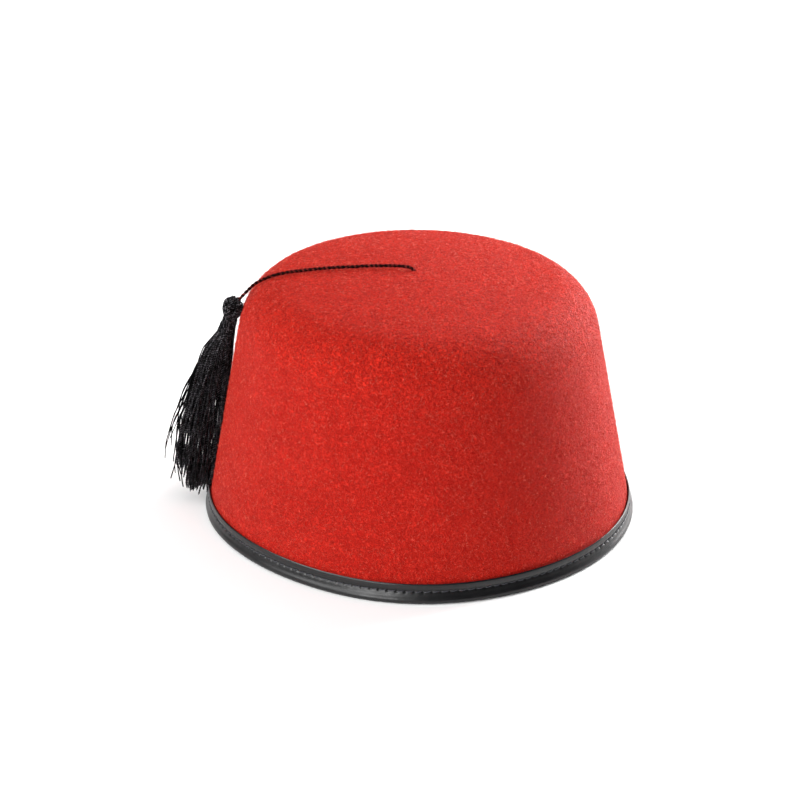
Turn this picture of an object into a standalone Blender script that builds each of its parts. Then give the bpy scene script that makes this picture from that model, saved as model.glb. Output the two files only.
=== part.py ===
"""Red felt fez with a folded black binding, a thin twisted cord and a tassel.

Lengths are metres and +Z is up. The hat stands on its binding at Z = 0, centred on the
origin. Its front is towards -Y, and its tassel hangs on the side towards -X.
"""
import math
from collections import namedtuple

import bmesh
import bpy
from mathutils import Matrix, Vector

# Felt crown, measured on its outer face
FELT_HALF_WIDTH = 0.096       # half of the felt's width from side to side, at the floor
RIM_OVAL = 1.04               # depth of the rim from front to back for each unit of width
WALL_SLOPE = 0.183            # the wall leans in by this much for each unit of height
CROWN_HEIGHT = 0.114          # floor to the middle of the crown
SHOULDER_RADIUS = 0.025       # rounding between the wall and the top
DOME_RADIUS = 0.330           # the top is slightly domed
CROWN_LEAN = 0.002            # the top sits this far off the rim's middle, towards -X
RIM_UNEVENNESS = 0.0006       # the soft rim is out of round by about this much
FELT_THICKNESS = 0.0022

# The rim's slow waves: lobes round the rim, share of the unevenness, direction of one lobe
RimWave = namedtuple("RimWave", "lobes share direction_deg")
RIM_WAVES = (
    RimWave(lobes=5, share=1.00, direction_deg=-25),
    RimWave(lobes=4, share=0.65, direction_deg=14),
)

# Binding: a strip of thin black leathercloth folded over the felt's edge and stitched
LEATHER_THICKNESS = 0.0009
BINDING_OUTER_HEIGHT = 0.0094
BINDING_INNER_HEIGHT = 0.0084
GAP = 0.0003                  # clearance between pieces that touch

# One leg of the folded strip, from the floor up: share of its height, share of its thickness
LegPoint = namedtuple("LegPoint", "height stand")
OUTER_LEG = (
    LegPoint(height=0.00, stand=0.15),
    LegPoint(height=0.06, stand=0.85),
    LegPoint(height=0.18, stand=1.25),
    LegPoint(height=0.36, stand=1.40),
    LegPoint(height=0.54, stand=1.30),
    LegPoint(height=0.66, stand=0.90),
    LegPoint(height=0.72, stand=0.50),
    LegPoint(height=0.78, stand=0.95),
    LegPoint(height=0.90, stand=1.10),
    LegPoint(height=1.00, stand=0.60),
)
INNER_LEG = (
    LegPoint(height=0.00, stand=0.15),
    LegPoint(height=0.10, stand=0.90),
    LegPoint(height=0.45, stand=1.10),
    LegPoint(height=0.90, stand=1.00),
    LegPoint(height=1.00, stand=0.60),
)

# Cord, which comes up through the crown, lies over the top and hangs down the side
CORD_DIAMETER = 0.0016
CORD_POINT_SPACING = 2 * CORD_DIAMETER
CORD_ROUTE = (
    (-0.0004, -0.0067, 0.1089),
    (-0.0008, -0.0065, 0.1104),
    (-0.0013, -0.0062, 0.1119),
    (-0.0020, -0.0057, 0.1133),
    (-0.0030, -0.0050, 0.1144),
    (-0.0046, -0.0039, 0.1151),
    (-0.0069, -0.0025, 0.1152),
    (-0.0096, -0.0013, 0.1151),
    (-0.0134, -0.0005, 0.1149),
    (-0.0175, -0.0001, 0.1147),
    (-0.0229, 0.0002, 0.1144),
    (-0.0282, 0.0004, 0.1140),
    (-0.0335, 0.0008, 0.1135),
    (-0.0388, 0.0013, 0.1130),
    (-0.0441, 0.0017, 0.1123),
    (-0.0495, 0.0020, 0.1116),
    (-0.0548, 0.0022, 0.1108),
    (-0.0602, 0.0023, 0.1099),
    (-0.0640, 0.0023, 0.1090),
    (-0.0672, 0.0022, 0.1080),
    (-0.0700, 0.0020, 0.1069),
    (-0.0727, 0.0017, 0.1056),
    (-0.0750, 0.0013, 0.1041),
    (-0.0773, 0.0009, 0.1019),
    (-0.0793, 0.0005, 0.0998),
    (-0.0809, 0.0002, 0.0981),
    (-0.0822, 0.0000, 0.0968),
)
CORD_RISE = 0.0090            # length of cord from its lower end to where it lies on the felt
CORD_KNOT_DIAMETER = 0.0050   # the plain knot that stops the cord under the crown

# Tassel: a knotted head with a skirt of loose yarns
HEAD_HEIGHT_ABOVE_FLOOR = 0.0944
HEAD_WIDTH = 0.0093
HEAD_LENGTH = 0.0112
HEAD_TILT = math.radians(18)  # its top leans towards the wall, where the cord pulls it
HEAD_LOBES = 6
HEAD_LOBE_DEPTH = 0.00025
HEAD_TWIST = math.radians(70)
HEAD_WALL_GAP = 0.0006
NECK_DIAMETER = 0.0068
STEM_DIAMETER = 0.0036        # the gathered yarns reach up into the head
STEM_LENGTH = 0.0030
SKIRT_END_HEIGHT = 0.0052     # lowest yarn ends above the floor
SKIRT_REACH = 0.0127          # how far the outermost yarns stand away from the wall's line
SKIRT_SPREAD = 0.0070         # how far the yarns spread to each side of the neck
SKIRT_SWING = 0.0015          # the ends hang this far towards the front
FAN_POWER = 2.4               # the yarns fan out below the neck, then hang straight
OUTER_YARN_SHORTER = 0.20     # share of the drop by which the outermost yarns end higher
LOCK_DIAMETER = 0.0050

# Locks of yarn stand side by side round a core of the inner yarns
LOCKS = 12
LOCK_STANCE = 0.80            # their middles, as a share of the skirt's half width

# Width of a lock down its length: share of the drop, share of the lock's diameter
LockWidth = namedtuple("LockWidth", "drop width")
LOCK_WIDTHS = (
    LockWidth(drop=0.00, width=0.46),
    LockWidth(drop=0.07, width=0.48),
    LockWidth(drop=0.18, width=0.66),
    LockWidth(drop=0.36, width=0.90),
    LockWidth(drop=0.62, width=1.00),
    LockWidth(drop=0.86, width=0.96),
    LockWidth(drop=1.00, width=0.82),
)
# Width of the core: share of the drop, share of the skirt's half width there
CoreWidth = namedtuple("CoreWidth", "drop width")
CORE_WIDTHS = (
    CoreWidth(drop=0.02, width=0.76),
    CoreWidth(drop=0.07, width=0.78),
    CoreWidth(drop=0.18, width=0.78),
    CoreWidth(drop=0.36, width=0.78),
    CoreWidth(drop=0.62, width=0.80),
    CoreWidth(drop=0.86, width=0.76),
    CoreWidth(drop=0.94, width=0.50),
)

# Mesh fineness
TURN_STEPS = 64
WALL_STEPS = 3
SHOULDER_STEPS = 7
DOME_STEPS = 5
LOCK_SIDES = 8
HEAD_SIDES = 24
HEAD_STEPS = 12
CUTTER_SIDES = 12

WALL_ANGLE = math.atan(WALL_SLOPE)
FELT_EDGE_HEIGHT = LEATHER_THICKNESS + GAP


def empty_scene():
    for obj in list(bpy.data.objects):
        bpy.data.objects.remove(obj, do_unlink=True)


def material(name, colour, roughness):
    made = bpy.data.materials.new(name)
    made.use_nodes = True
    shader = made.node_tree.nodes["Principled BSDF"]
    shader.inputs["Base Color"].default_value = (*colour, 1.0)
    shader.inputs["Roughness"].default_value = roughness
    shader.inputs["Metallic"].default_value = 0.0
    return made


def add_object(name, bm, look):
    """Turn a bmesh into a smooth-shaded object with outward faces."""
    bmesh.ops.recalc_face_normals(bm, faces=bm.faces)
    mesh = bpy.data.meshes.new(name)
    bm.to_mesh(mesh)
    bm.free()
    mesh.shade_smooth()
    mesh.set_sharp_from_angle(angle=math.radians(40))
    mesh.materials.append(look)
    obj = bpy.data.objects.new(name, mesh)
    bpy.context.scene.collection.objects.link(obj)
    return obj


def bridge(bm, low, high):
    """Join two rings of points with a band of faces."""
    for i in range(len(low)):
        j = (i + 1) % len(low)
        bm.faces.new((low[i], low[j], high[j], high[i]))


def fan(bm, ring, centre):
    """Close a ring with triangles to one point."""
    tip = bm.verts.new(centre)
    for i in range(len(ring)):
        bm.faces.new((ring[i], ring[(i + 1) % len(ring)], tip))


def boolean(obj, other, operation):
    """Apply one Boolean, and remove the object that it was made with."""
    change = obj.modifiers.new(operation.title(), "BOOLEAN")
    change.operation = operation
    change.object = other
    other.hide_render = True
    other.display_type = "WIRE"
    graph = bpy.context.evaluated_depsgraph_get()
    result = bpy.data.meshes.new_from_object(obj.evaluated_get(graph))
    obj.modifiers.clear()
    obj.data = result
    bpy.data.objects.remove(other, do_unlink=True)


# The crown's shape

def rim_wave(turn):
    """How far the rim stands out of round at this turn."""
    return RIM_UNEVENNESS * sum(
        wave.share * math.cos(wave.lobes * (turn - math.radians(wave.direction_deg)))
        for wave in RIM_WAVES
    )


def rim_middle():
    """Middle of the uneven rim, which is put on the origin."""
    x = (rim_wave(0) - rim_wave(math.pi)) / 2
    y = RIM_OVAL * (rim_wave(math.pi / 2) - rim_wave(-math.pi / 2)) / 2
    return Vector((x, y, 0))


def crown_point(radius, height, turn):
    """A point of the crown, from its round profile to its uneven, oval, leaning shape."""
    share = height / CROWN_HEIGHT
    radius = radius + rim_wave(turn) * (1 - share)
    oval = 1 + (RIM_OVAL - 1) * (1 - share)
    x = radius * math.cos(turn) - CROWN_LEAN * share
    y = oval * radius * math.sin(turn)
    return Vector((x, y, height)) - rim_middle()


def shoulder_centre():
    """Centre of the shoulder's arc, which touches the wall's line and the dome's arc."""
    dome = Vector((0, CROWN_HEIGHT - DOME_RADIUS))
    inward = Vector((-math.cos(WALL_ANGLE), -math.sin(WALL_ANGLE)))
    upward = Vector((-math.sin(WALL_ANGLE), math.cos(WALL_ANGLE)))
    start = Vector((FELT_HALF_WIDTH, 0)) + SHOULDER_RADIUS * inward
    along = (start - dome).dot(upward)
    reach = (start - dome).length_squared - (DOME_RADIUS - SHOULDER_RADIUS) ** 2
    return start + (math.sqrt(along * along - reach) - along) * upward


def wall_radius(height, inset=0.0):
    """Radius of the straight wall, or of the face that lies this far inside it."""
    return FELT_HALF_WIDTH - WALL_SLOPE * height - inset / math.cos(WALL_ANGLE)


def crown_radius(height):
    """Radius of the outer face at a height on the wall or the shoulder."""
    centre = shoulder_centre()
    if height <= centre.y + SHOULDER_RADIUS * math.sin(WALL_ANGLE):
        return wall_radius(height)
    return centre.x + math.sqrt(SHOULDER_RADIUS ** 2 - (height - centre.y) ** 2)


def crown_profile(inset):
    """Radius and height of one face of the felt, from its lower edge up to the middle."""
    centre = shoulder_centre()
    dome_height = CROWN_HEIGHT - DOME_RADIUS
    shoulder = SHOULDER_RADIUS - inset
    dome = DOME_RADIUS - inset
    dome_start = math.atan2(centre.y - dome_height, centre.x)
    wall_top = centre.y + shoulder * math.sin(WALL_ANGLE)
    rows = []
    for i in range(WALL_STEPS):
        height = FELT_EDGE_HEIGHT + (wall_top - FELT_EDGE_HEIGHT) * i / WALL_STEPS
        rows.append((wall_radius(height, inset), height))
    for i in range(SHOULDER_STEPS + 1):
        angle = WALL_ANGLE + (dome_start - WALL_ANGLE) * i / SHOULDER_STEPS
        rows.append((centre.x + shoulder * math.cos(angle), centre.y + shoulder * math.sin(angle)))
    for i in range(1, DOME_STEPS):
        angle = dome_start + (math.pi / 2 - dome_start) * i / DOME_STEPS
        rows.append((dome * math.cos(angle), dome_height + dome * math.sin(angle)))
    return rows


def underside_height(radius):
    """Height of the felt's inner face at this distance from the middle of the top."""
    dome = DOME_RADIUS - FELT_THICKNESS
    return CROWN_HEIGHT - DOME_RADIUS + math.sqrt(dome ** 2 - radius ** 2)


def crown_ring(bm, radius, height):
    turns = (2 * math.pi * i / TURN_STEPS for i in range(TURN_STEPS))
    return [bm.verts.new(crown_point(radius, height, turn)) for turn in turns]


def make_crown(look, cord_path):
    bm = bmesh.new()
    faces = []
    for inset in (0.0, FELT_THICKNESS):
        rings = [crown_ring(bm, radius, height) for radius, height in crown_profile(inset)]
        for low, high in zip(rings, rings[1:]):
            bridge(bm, low, high)
        fan(bm, rings[-1], crown_point(0, CROWN_HEIGHT - inset, 0))
        faces.append(rings)
    bridge(bm, faces[0][0], faces[1][0])
    crown = add_object("crown_felt", bm, look)
    rise_steps = math.ceil(CORD_RISE / CORD_POINT_SPACING)
    boolean(crown, cord_cutter(cord_path[:rise_steps + 1], look), "DIFFERENCE")


# The binding

def leg_points(leg, leg_height, inset, side):
    """Radius and height of a leg's far face, which stands off the felt on the given side."""
    return [
        (
            wall_radius(leg_height * point.height, inset) + side * (GAP + LEATHER_THICKNESS * point.stand),
            leg_height * point.height,
        )
        for point in leg
    ]


def make_binding(look):
    outer = leg_points(OUTER_LEG, BINDING_OUTER_HEIGHT, 0, 1)
    inner = leg_points(INNER_LEG, BINDING_INNER_HEIGHT, FELT_THICKNESS, -1)
    channel = [
        (wall_radius(BINDING_OUTER_HEIGHT) + GAP, BINDING_OUTER_HEIGHT),
        (wall_radius(LEATHER_THICKNESS) + GAP, LEATHER_THICKNESS),
        (wall_radius(LEATHER_THICKNESS, FELT_THICKNESS) - GAP, LEATHER_THICKNESS),
        (wall_radius(BINDING_INNER_HEIGHT, FELT_THICKNESS) - GAP, BINDING_INNER_HEIGHT),
    ]
    section = outer + channel + inner[::-1]
    bm = bmesh.new()
    rings = [crown_ring(bm, radius, height) for radius, height in section]
    for low, high in zip(rings, rings[1:] + rings[:1]):
        bridge(bm, low, high)
    return add_object("edge_binding", bm, look)


# The cord

def curve_point(before, start, end, after, share):
    """A point of the smooth curve through four neighbours, between the middle two."""
    return 0.5 * (
        2 * start
        + (end - before) * share
        + (2 * before - 5 * start + 4 * end - after) * share ** 2
        + (3 * start - before - 3 * end + after) * share ** 3
    )


def smooth_path(route, spacing):
    """Evenly spaced points on one smooth curve through the route's own points."""
    points = [Vector(point) for point in route]
    padded = [2 * points[0] - points[1]] + points + [2 * points[-1] - points[-2]]
    fine_steps = 16
    fine = []
    for i in range(len(points) - 1):
        fine += [curve_point(*padded[i:i + 4], step / fine_steps) for step in range(fine_steps)]
    fine.append(points[-1])
    travelled = [0.0]
    for start, end in zip(fine, fine[1:]):
        travelled.append(travelled[-1] + (end - start).length)
    count = max(2, round(travelled[-1] / spacing))
    path = []
    at = 0
    for i in range(count + 1):
        wanted = travelled[-1] * i / count
        while at < len(fine) - 2 and travelled[at + 1] < wanted:
            at += 1
        share = (wanted - travelled[at]) / (travelled[at + 1] - travelled[at])
        path.append(fine[at].lerp(fine[at + 1], share))
    return path


def tube(bm, centres, radii, sides):
    """A closed round bar along the centres, with its own radius at each."""
    rings = []
    across = Vector((0, 1, 0))
    for i, centre in enumerate(centres):
        along = (centres[min(i + 1, len(centres) - 1)] - centres[max(i - 1, 0)]).normalized()
        across = (across - across.dot(along) * along).normalized()
        other = along.cross(across)
        turns = (2 * math.pi * side / sides for side in range(sides))
        rings.append([
            bm.verts.new(centre + radii[i] * (math.cos(turn) * across + math.sin(turn) * other))
            for turn in turns
        ])
    for low, high in zip(rings, rings[1:]):
        bridge(bm, low, high)
    bm.faces.new(rings[0])
    bm.faces.new(rings[-1])


def cord_cutter(path, look):
    """A bar as thick as the cord and its clearance, to cut the way for it."""
    bm = bmesh.new()
    before = path[0] + GAP * (path[0] - path[1]).normalized()
    after = path[-1] + GAP * (path[-1] - path[-2]).normalized()
    centres = [before] + path[1:-1] + [after]
    tube(bm, centres, [CORD_DIAMETER / 2 + GAP] * len(centres), CUTTER_SIDES)
    return add_object("cord_way", bm, look)


def make_cord(look, cord_path):
    curve = bpy.data.curves.new("tassel_cord", "CURVE")
    curve.dimensions = "3D"
    curve.bevel_depth = CORD_DIAMETER / 2
    curve.bevel_resolution = 2
    curve.use_fill_caps = True
    curve.materials.append(look)
    spline = curve.splines.new("POLY")
    spline.points.add(len(cord_path) - 1)
    for spline_point, place in zip(spline.points, cord_path):
        spline_point.co = (*place, 1.0)
    cord = bpy.data.objects.new("tassel_cord", curve)
    bpy.context.scene.collection.objects.link(cord)
    return cord


def ball_rings(bm, centre, turned, half_width, half_length, lobes=0, lobe_depth=0.0, twist=0.0):
    """A closed ball, longer or shorter than wide, with soft twisted lobes."""
    rings = []
    for i in range(1, HEAD_STEPS):
        fall = math.pi * i / HEAD_STEPS
        ring = []
        for side in range(HEAD_SIDES):
            turn = 2 * math.pi * side / HEAD_SIDES
            radius = half_width + lobe_depth * math.cos(lobes * (turn + twist * i / HEAD_STEPS))
            place = Vector((
                radius * math.sin(fall) * math.cos(turn),
                radius * math.sin(fall) * math.sin(turn),
                half_length * math.cos(fall),
            ))
            ring.append(bm.verts.new(centre + turned @ place))
        rings.append(ring)
    for low, high in zip(rings, rings[1:]):
        bridge(bm, low, high)
    fan(bm, rings[0], centre + turned @ Vector((0, 0, half_length)))
    fan(bm, rings[-1], centre + turned @ Vector((0, 0, -half_length)))


def make_cord_knot(look, cord_path):
    """The knot that stops the cord against the felt, inside the crown."""
    bm = bmesh.new()
    half = CORD_KNOT_DIAMETER / 2
    centre = cord_path[0].copy()
    centre.z = underside_height(centre.xy.length) - GAP - half
    ball_rings(bm, centre, Matrix.Identity(3), half, half)
    knot = add_object("cord_knot", bm, look)
    boolean(knot, cord_cutter(cord_path[:3], look), "DIFFERENCE")


# The tassel

def head_centre():
    away = crown_radius(HEAD_HEIGHT_ABOVE_FLOOR) + HEAD_WALL_GAP + HEAD_WIDTH / 2
    return crown_point(away, HEAD_HEIGHT_ABOVE_FLOOR, math.pi)


def head_turned():
    """The head's own axes: its top leans towards +X, to the wall."""
    return Matrix.Rotation(HEAD_TILT, 3, "Y")


def neck_top():
    """Middle of the skirt's gathered top, a gap below the head."""
    return head_centre() - head_turned() @ Vector((0, 0, HEAD_LENGTH / 2 + GAP))


def neck_bundle():
    """How far from the neck's middle the outermost locks' own middles lie."""
    return (NECK_DIAMETER - LOCK_DIAMETER * LOCK_WIDTHS[0].width) / (2 * LOCK_STANCE)


def fanned(drop):
    """How far the yarns have fanned out at this share of the drop, from 0 to 1."""
    return 1 - (1 - drop) ** FAN_POWER


def half_spread(drop):
    return neck_bundle() + SKIRT_SPREAD * fanned(drop)


def skirt_point(out, side, drop):
    """A place in the skirt: out from the wall and to the side, each -1 to 1, and down."""
    top = neck_top()
    fall = drop * (top.z - SKIRT_END_HEIGHT)
    away = neck_bundle() * out + WALL_SLOPE * fall + SKIRT_REACH * (1 + out) / 2 * fanned(drop)
    across = side * half_spread(drop) - SKIRT_SWING * drop
    return Vector((top.x - away, top.y + across, top.z - fall))


def lock_object(turn, look):
    """One tapered lock of yarn, from the neck to its cut end."""
    out = LOCK_STANCE * math.cos(turn)
    side = LOCK_STANCE * math.sin(turn)
    last = 1 - OUTER_YARN_SHORTER * max(out, 0) ** 2
    centres = [skirt_point(out, side, last * row.drop) for row in LOCK_WIDTHS]
    radii = [LOCK_DIAMETER / 2 * row.width for row in LOCK_WIDTHS]
    bm = bmesh.new()
    tube(bm, centres, radii, LOCK_SIDES)
    return add_object("lock", bm, look)


def make_head(look, cord_path):
    bm = bmesh.new()
    ball_rings(
        bm, head_centre(), head_turned(), HEAD_WIDTH / 2, HEAD_LENGTH / 2,
        HEAD_LOBES, HEAD_LOBE_DEPTH, HEAD_TWIST,
    )
    head = add_object("tassel_head", bm, look)
    boolean(head, cord_cutter(cord_path[-4:], look), "DIFFERENCE")
    socket = bmesh.new()
    up = head_turned() @ Vector((0, 0, 1))
    path = [neck_top() - GAP * up, neck_top() + (STEM_LENGTH + GAP) * up]
    tube(socket, path, [STEM_DIAMETER / 2 + GAP] * 2, CUTTER_SIDES)
    boolean(head, add_object("stem_way", socket, look), "DIFFERENCE")


def make_skirt(look):
    """The stem and core, with the locks of yarn fused to them."""
    up = head_turned() @ Vector((0, 0, 1))
    centres = [neck_top() + STEM_LENGTH * up, neck_top()]
    radii = [STEM_DIAMETER / 2, STEM_DIAMETER / 2]
    for row in CORE_WIDTHS:
        centres.append(skirt_point(0, 0, row.drop))
        radii.append(half_spread(row.drop) * row.width)
    bm = bmesh.new()
    tube(bm, centres, radii, CUTTER_SIDES)
    skirt = add_object("tassel_skirt", bm, look)
    for i in range(LOCKS):
        boolean(skirt, lock_object(2 * math.pi * i / LOCKS, look), "UNION")


def make_fez():
    empty_scene()
    felt = material("red wool felt", (0.52, 0.035, 0.022), 0.95)
    leather = material("black leathercloth", (0.012, 0.012, 0.013), 0.38)
    yarn = material("black rayon yarn", (0.010, 0.009, 0.010), 0.55)
    cord_path = smooth_path(CORD_ROUTE, CORD_POINT_SPACING)
    make_crown(felt, cord_path)
    make_binding(leather)
    make_cord(yarn, cord_path)
    make_cord_knot(yarn, cord_path)
    make_head(yarn, cord_path)
    make_skirt(yarn)


make_fez()
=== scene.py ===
"""Looks of a red felt fez: pressed felt, a stitched black binding, a twisted cord and a tassel.

Lengths are metres, unless a name ends in MM. The hat stands on its binding at Z = 0 with its
front towards -Y, and its tassel hangs on the side towards -X.
"""
import math
import random

import bpy
import numpy as np
from mathutils import Matrix, Vector, noise


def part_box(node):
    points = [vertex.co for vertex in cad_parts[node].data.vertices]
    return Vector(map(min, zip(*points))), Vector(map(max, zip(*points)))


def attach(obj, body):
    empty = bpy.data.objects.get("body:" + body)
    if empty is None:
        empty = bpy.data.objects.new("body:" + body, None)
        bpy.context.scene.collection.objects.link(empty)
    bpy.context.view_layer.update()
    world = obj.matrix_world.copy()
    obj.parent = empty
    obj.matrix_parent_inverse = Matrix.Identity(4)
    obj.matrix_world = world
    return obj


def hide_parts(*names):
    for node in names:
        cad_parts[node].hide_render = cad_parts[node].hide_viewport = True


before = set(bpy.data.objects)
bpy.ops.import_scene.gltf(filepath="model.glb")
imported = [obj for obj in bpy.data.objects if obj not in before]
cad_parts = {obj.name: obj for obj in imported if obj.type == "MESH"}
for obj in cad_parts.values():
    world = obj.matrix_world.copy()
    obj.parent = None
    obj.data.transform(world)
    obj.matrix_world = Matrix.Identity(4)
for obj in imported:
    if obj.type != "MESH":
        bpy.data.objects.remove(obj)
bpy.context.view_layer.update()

# Camera, at the photograph's angle
HAT_MIDDLE = Vector((0, 0, 0.057))
CAMERA_DISTANCE = 1.2
CAMERA_ELEVATION = math.radians(23.96)
CAMERA_AIM = Vector((-0.0094, -0.0027, 0.0509))
CAMERA_ROLL = math.radians(0.64)
LENS_MM = 119.9
SENSOR_MM = 36.0

# Softboxes: name, azimuth and elevation in degrees, width, height, watts
SOFTBOX_DISTANCE = 1.3
SOFTBOXES = (
    ("key_left", -66, 32, 0.8, 0.8, 14),
    ("front_left", -26, 17, 0.6, 0.3, 7.2),
    ("top", 0, 86, 1.2, 1.2, 7.5),
    ("back", 180, 45, 1.2, 0.8, 1.5),
    ("back_right", 131, 18, 0.6, 0.8, 39),
)
WORLD_STRENGTH = 0.04
FLOOR_SIZE = 12

# Felt crown, measured on its outer face
CROWN_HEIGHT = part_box("crown_felt")[1].z
FELT_HALF_WIDTH = 0.096
RIM_OVAL = 1.04
WALL_SLOPE = 0.183
WALL_ANGLE = math.atan(WALL_SLOPE)
SHOULDER_RADIUS = 0.025
DOME_RADIUS = 0.330
CROWN_LEAN = 0.002
RIM_UNEVENNESS = 0.0006
RIM_WAVES = ((5, 1.00, -25), (4, 0.65, 14))  # lobes, share of the unevenness, direction in degrees
FELT_THICKNESS = 0.0022
FELT_COLUMNS = 256
OUTER_FELT_STEP = 0.0016
INNER_FELT_STEP = 0.004
SHARP_ANGLE = math.radians(50)
# Pressed felt is never quite flat: how far it strays, over which lengths, and where that sets in
FELT_WOBBLE = 0.00012
WOBBLE_LENGTH = 0.022
QUICK_WOBBLE_LENGTH = 0.006
QUICK_WOBBLE_SHARE = 0.4
WOBBLE_FADE = 0.006
WOBBLE_CENTRE_HEIGHT = 0.02
# The felt stands up a little round the cord's hole
PUCKER_MIDDLE = (-0.0028, -0.0060)
PUCKER_HEIGHT = 0.0007
PUCKER_RADIUS = 0.0016
PUCKER_LEVEL = 0.112          # only the outer face of the top lies higher than this
# Heights between which the wall's felt colours turn into the top's, whose deeper darks and paler strands
# are painted contrast for the raking light on the shoulder and top
PAINTED_TOP_CONTRAST_HEIGHTS = (0.078, 0.102)

# Binding
LEATHER_THICKNESS = 0.0009
BINDING_OUTER_HEIGHT = 0.0088
BINDING_INNER_HEIGHT = 0.0084
GAP = 0.0003
STITCH_PITCH = 0.0039
STITCH_LENGTH = 0.0031
THREAD_DIAMETER = 0.00040
GROOVE_HEIGHT_SHARE = 0.62
COLUMNS_PER_STITCH = 8
OUTER_LEG_ROWS = 34
INNER_LEG_ROWS = 9
LIP_GAP_DEPTH = 0.0006        # how deep the gap between the lip and the felt is
# Each stitch pulls the leather in at its holes and lets it puff out beside them
HOLE_DEPTH_SHARE = 0.52
HOLE_HALF_LENGTH = 0.00036
HOLE_HALF_HEIGHT = 0.00055
PUFF_SHARE = 0.06
PUFFS = ((0.80, 1.0), (0.50, 0.5))  # share of the leg's height, strength
PUFF_HALF_HEIGHT = 0.08
THREAD_SIDES = 7
STITCH_RINGS = 9
STITCH_SLANT = 0.00022
STITCH_SLANT_SPREAD = 0.00006
STITCH_RISE_SHARE = 0.42      # of the thread's diameter, in the middle of a stitch
STITCH_DIP_SHARE = 1.5        # and how far it falls from there to its ends
# Share of the leg's height, share of the leather's thickness that its face stands off the felt
OUTER_LEG = (
    (0.00, 0.00), (0.03, 0.50), (0.08, 1.04), (0.14, 1.38), (0.20, 1.47), (0.26, 1.40),
    (0.32, 1.22), (0.38, 1.02), (0.44, 0.87), (0.50, 0.76), (0.56, 0.64), (0.60, 0.52),
    (0.63, 0.50), (0.66, 0.57), (0.71, 0.74), (0.77, 0.93), (0.86, 1.00), (0.97, 0.98),
    (1.00, 0.82),
)
INNER_LEG = ((0.00, 0.15), (0.10, 0.90), (0.45, 1.10), (0.72, 0.75), (0.90, 1.00), (1.00, 0.60))

# Cord
CORD_DIAMETER = 0.0016
CORD_LAY = 0.0042             # one full turn of its two plies
CORD_STEP = 0.00025
CORD_SIDES = 10
PLY_RADIUS_SHARE = 0.29       # of the cord's diameter
# Distance from the middle, as a share of the radius, of the valleys between plies and of their crests
CORD_VALLEY = 0.66
YARN_VALLEY = 0.62
CREST_TOP = 0.97
CORD_ROUTE = (
    (-0.0010, -0.0060, 0.1089), (-0.0015, -0.0056, 0.1104), (-0.0022, -0.0051, 0.1119),
    (-0.0031, -0.0045, 0.1133), (-0.0041, -0.0038, 0.1144), (-0.0056, -0.0030, 0.1151),
    (-0.0074, -0.0021, 0.1152), (-0.0098, -0.0012, 0.1151), (-0.0134, -0.0005, 0.1149),
    (-0.0175, -0.0001, 0.1147), (-0.0229, 0.0002, 0.1144), (-0.0282, 0.0004, 0.1140),
    (-0.0335, 0.0008, 0.1135), (-0.0388, 0.0013, 0.1130), (-0.0441, 0.0017, 0.1123),
    (-0.0495, 0.0020, 0.1116), (-0.0548, 0.0022, 0.1108), (-0.0602, 0.0023, 0.1099),
    (-0.0640, 0.0023, 0.1090), (-0.0672, 0.0022, 0.1080), (-0.0700, 0.0020, 0.1069),
    (-0.0727, 0.0017, 0.1056), (-0.0750, 0.0013, 0.1041), (-0.0773, 0.0009, 0.1019),
    (-0.0793, 0.0005, 0.0998), (-0.0809, 0.0002, 0.0981), (-0.0822, 0.0000, 0.0968),
)
DECLARED_POINT_STEPS = 8      # steps of the cord between the points that make_cord gives back
HOLE_ROUTE_POINTS = 7         # the first points of the route, which lie in the felt's hole
HOLE_STEP = 0.001
HOLE_SIDES = 16
# The knot is a trefoil, whose formula reaches three units from its middle
CORD_KNOT_DIAMETER = 0.0050
KNOT_STEPS = 72
KNOT_SIDES = 8
TREFOIL_REACH = 3.0
TREFOIL_HEIGHT = 1.1

# Tassel
HEAD_MIDDLE = sum(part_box("tassel_head"), Vector()) / 2 + Vector((0.0002, 0, -0.0012))
HEAD_WIDTH = 0.0104
HEAD_LENGTH = 0.0110
HEAD_TILT = math.radians(14)
HEAD_YARN = 0.00105
HEAD_YARN_SPACING = 0.88      # in yarns, between yarns side by side
OUTER_LOOP_DROP = 0.22        # in yarns, for each place away from the middle of a loop
HEAD_YARN_TURN = 1.3          # radians of twist, from each yarn of a loop to the next
LOOP_STEPS = 60
CORE_RINGS = 13
CORE_SIDES = 20
CORE_POLE = 0.05
CORE_INSET = 1.2              # in yarns
CORE_CREST = 0.5
# Loops of the knotted ball: direction that each faces, its distance from the ball's middle as a
# share of the ball's size, its number of yarns side by side, and how far it stands out in yarns
HEAD_LOOPS = (
    ((0.10, 0.20, 1.00), -0.50, 4, -0.35),
    ((0.25, -0.30, 1.00), -0.05, 3, -0.45),
    ((-0.60, -0.78, 0.10), 0.16, 3, -0.10),
    ((1.00, 0.35, 0.10), -0.56, 2, 0.10),
    ((1.00, -0.12, 0.06), -0.14, 2, 0.30),
    ((1.00, 0.16, -0.16), 0.27, 2, 0.20),
    ((1.00, 0.30, -0.35), 0.68, 2, 0.00),
    ((0.20, -1.00, 0.12), 0.76, 2, 0.05),
    ((0.20, -1.00, 0.12), 0.96, 1, -0.10),
)
NECK_TOP = (-0.0853, 0.0006, 0.0884)
NECK_END = (-0.0880, 0.0004, 0.0810)
NECK_TURNS = 7
NECK_STEPS_PER_TURN = 26
NECK_RADIUS = 0.0030
NECK_FLARE = 0.0006
NECK_FLARE_POWER = 1.5
NECK_RIPPLE = 0.00015
RIPPLES_PER_TURN = 2.3
NECK_SLANT = 0.0007
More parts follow.
